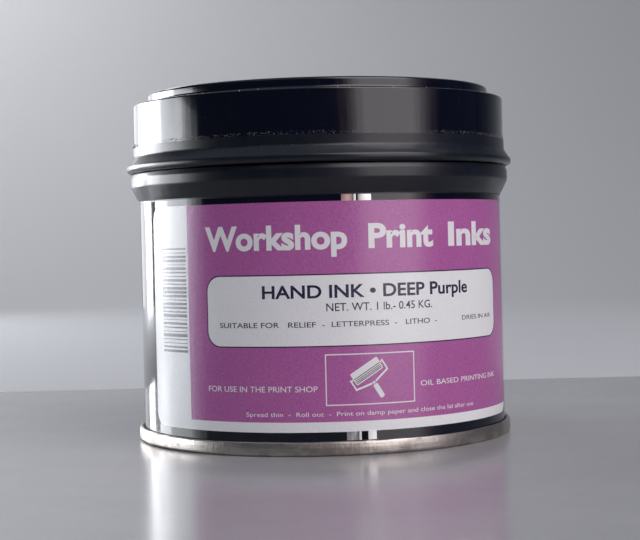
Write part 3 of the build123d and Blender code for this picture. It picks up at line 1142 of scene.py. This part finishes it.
# The bench is plain, pale and a little polished, and a pale sheet sweeps up behind it.
bench = Finish("bench")
worn = bench.grain(60, detail=6, roughness=0.6, seed=1.0)
fine = bench.grain(1.5, detail=4, roughness=0.7, seed=3.0)
bench.lay(
    Base_Color=bench.mix(worn.rise(0.3, 0.75), (0.33, 0.33, 0.335, 1), (0.37, 0.37, 0.375, 1)),
    Roughness=0.10 + worn * 0.12 + fine * 0.06,
)
ahead, aside = around(180, 1.0), around(90, 1.0)
far, near, side = 0.116, -0.7, 0.6
corners = [ahead * y + aside * x for y, x in ((far, side), (far, -side), (near, -side), (near, side))]
bench_top = bpy.data.meshes.new("bench_top")
bench_top.from_pydata(corners, [], [(0, 1, 2, 3)])
bench_top.materials.append(bench.material)
linked("bench_top", bench_top)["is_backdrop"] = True
pale = Finish("pale_sheet", Roughness=0.85)
cloudy = pale.grain(500, detail=4, seed=2.0)
pale.lay(Base_Color=pale.mix(cloudy, (0.56, 0.56, 0.575, 1), (0.50, 0.50, 0.52, 1)))
bend_start, bend_radius, sheet_top, drop, half_width = 0.8, 0.9, 3.0, 0.004, 4
quarter = [i * math.pi / 24 for i in range(1, 13)]
bend = [(bend_start + bend_radius * math.sin(a), bend_radius - bend_radius * math.cos(a)) for a in quarter]
sweep = [(0.05, 0.0), (bend_start, 0.0)] + bend + [(bend_start + bend_radius, sheet_top)]
shape = bmesh.new()
rows = []
for behind, height in sweep:
    middle = ahead * behind + Vector((0, 0, height - drop))
    rows.append([shape.verts.new(middle - aside * half_width), shape.verts.new(middle + aside * half_width)])
for near, far in zip(rows, rows[1:]):
    shape.faces.new((near[0], near[1], far[1], far[0]))
sheet = bpy.data.meshes.new("pale_sheet")
shape.to_mesh(sheet)
shape.free()
sheet.materials.append(pale.material)
sheet.shade_smooth()
linked("pale_sheet", sheet)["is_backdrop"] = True


TIN_MIDDLE = 0.05
DAYLIGHT = (0.93, 0.96, 1.0)


def panel_light(name, azimuth, distance, height, width, tall, radiance, colour=(1, 1, 1)):
    """A rectangular light that faces the tin. Its power follows from how bright its face is to be."""
    lamp = bpy.data.lights.new(name, "AREA")
    lamp.shape = "RECTANGLE"
    lamp.size = width
    lamp.size_y = tall
    lamp.energy = radiance * width * tall * math.pi
    lamp.color = colour
    piece = linked(name, lamp)
    piece.visible_camera = False
    piece.location = around(azimuth, distance, height)
    piece.rotation_euler = (Vector((0, 0, TIN_MIDDLE)) - piece.location).to_track_quat("-Z", "Y").to_euler()
    return piece


def nested_lights(name, height, tall, steps):
    """Panels of light one behind the other. Their glow adds up, so that the stack has soft edges.

    A step is (azimuth of one side, azimuth of the other, radiance, colour).
    """
    for number, (start, end, radiance, colour) in enumerate(steps):
        distance = 0.82 + 0.02 * number
        width = 2 * distance * math.tan(math.radians(end - start) / 2)
        panel_light(f"{name}_{number}", (start + end) / 2, distance, height, width, tall, radiance, colour)


for name, azimuth, height, width, tall, radiance in [
    ("sky", -150, 0.12, 0.22, 0.3, 1.2),
    ("window_far", -136.5, 0.12, 0.16, 0.3, 12.0),
    ("window_over", -127, 0.19, 0.11, 0.16, 12.0),
    ("window_near", -116, 0.12, 0.2, 0.3, 12.0),
]:
    panel_light(name, azimuth, 0.8, height, width, tall, radiance, DAYLIGHT)
wall_edges = [(-88, 2.9), (-85, 1.4), (-81, 1.2), (-76.5, 0.9)]
nested_lights("wall", 0.1075, 0.215, [(-109, edge, radiance, DAYLIGHT) for edge, radiance in wall_edges])
nested_lights(
    "screen",
    0.5,
    1.2,
    [
        (24, 62, 0.5, (1.0, 0.98, 0.99)),
        (20, 66, 0.6, (1.0, 0.98, 0.99)),
        (17, 70, 0.5, (1.0, 0.97, 0.98)),
        (14, 74, 0.3, (1.0, 0.90, 0.93)),
        (9, 79, 0.16, (1.0, 0.66, 0.72)),
    ],
)
panel_light("fill", 40, 0.75, 0.8, 1.0, 0.7, 1.4, (1.0, 0.98, 0.97))
ceiling = panel_light("ceiling", 0, 0.3, 1.6, 3.0, 3.0, 0.33, (0.80, 0.89, 1.0))
ceiling.rotation_euler = (0, 0, 0)  # Straight down.
wash = panel_light("sheet_wash", -150, 1.5, 1.0, 0.6, 0.6, 7.4)
wash_aim = ahead * 1.7 - aside * 0.5 + Vector((0, 0, 0.05))
wash.rotation_euler = (wash_aim - wash.location).to_track_quat("-Z", "Y").to_euler()

world = bpy.data.worlds.new("studio_air")
world.use_nodes = True
world.node_tree.nodes["Background"].inputs["Color"].default_value = (0.035, 0.042, 0.06, 1)
bpy.context.scene.world = world
bpy.context.scene.view_settings.view_transform = "Standard"


# Camera. It stands 36 cm from the tin's axis at about the tin's mid height, and looks level. It is turned a
# little to the side and rolled a little.
lens = bpy.data.cameras.new("camera")
lens.lens = 86.4
lens.sensor_width = 36.0
lens.clip_start = 0.02
lens.shift_x = -0.0009
lens.shift_y = -0.0483
camera = linked("camera", lens)
camera.location = around(0, CAMERA_DISTANCE, CAMERA_HEIGHT)
camera.matrix_world = (
    Matrix.Translation(camera.location)
    @ Matrix.Rotation(math.radians(CAMERA_TURN), 4, "Z")
    @ Matrix.Rotation(math.radians(90), 4, "X")
    @ Matrix.Rotation(math.radians(CAMERA_ROLL), 4, "Z")
)
bpy.context.scene.camera = camera

low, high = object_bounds()
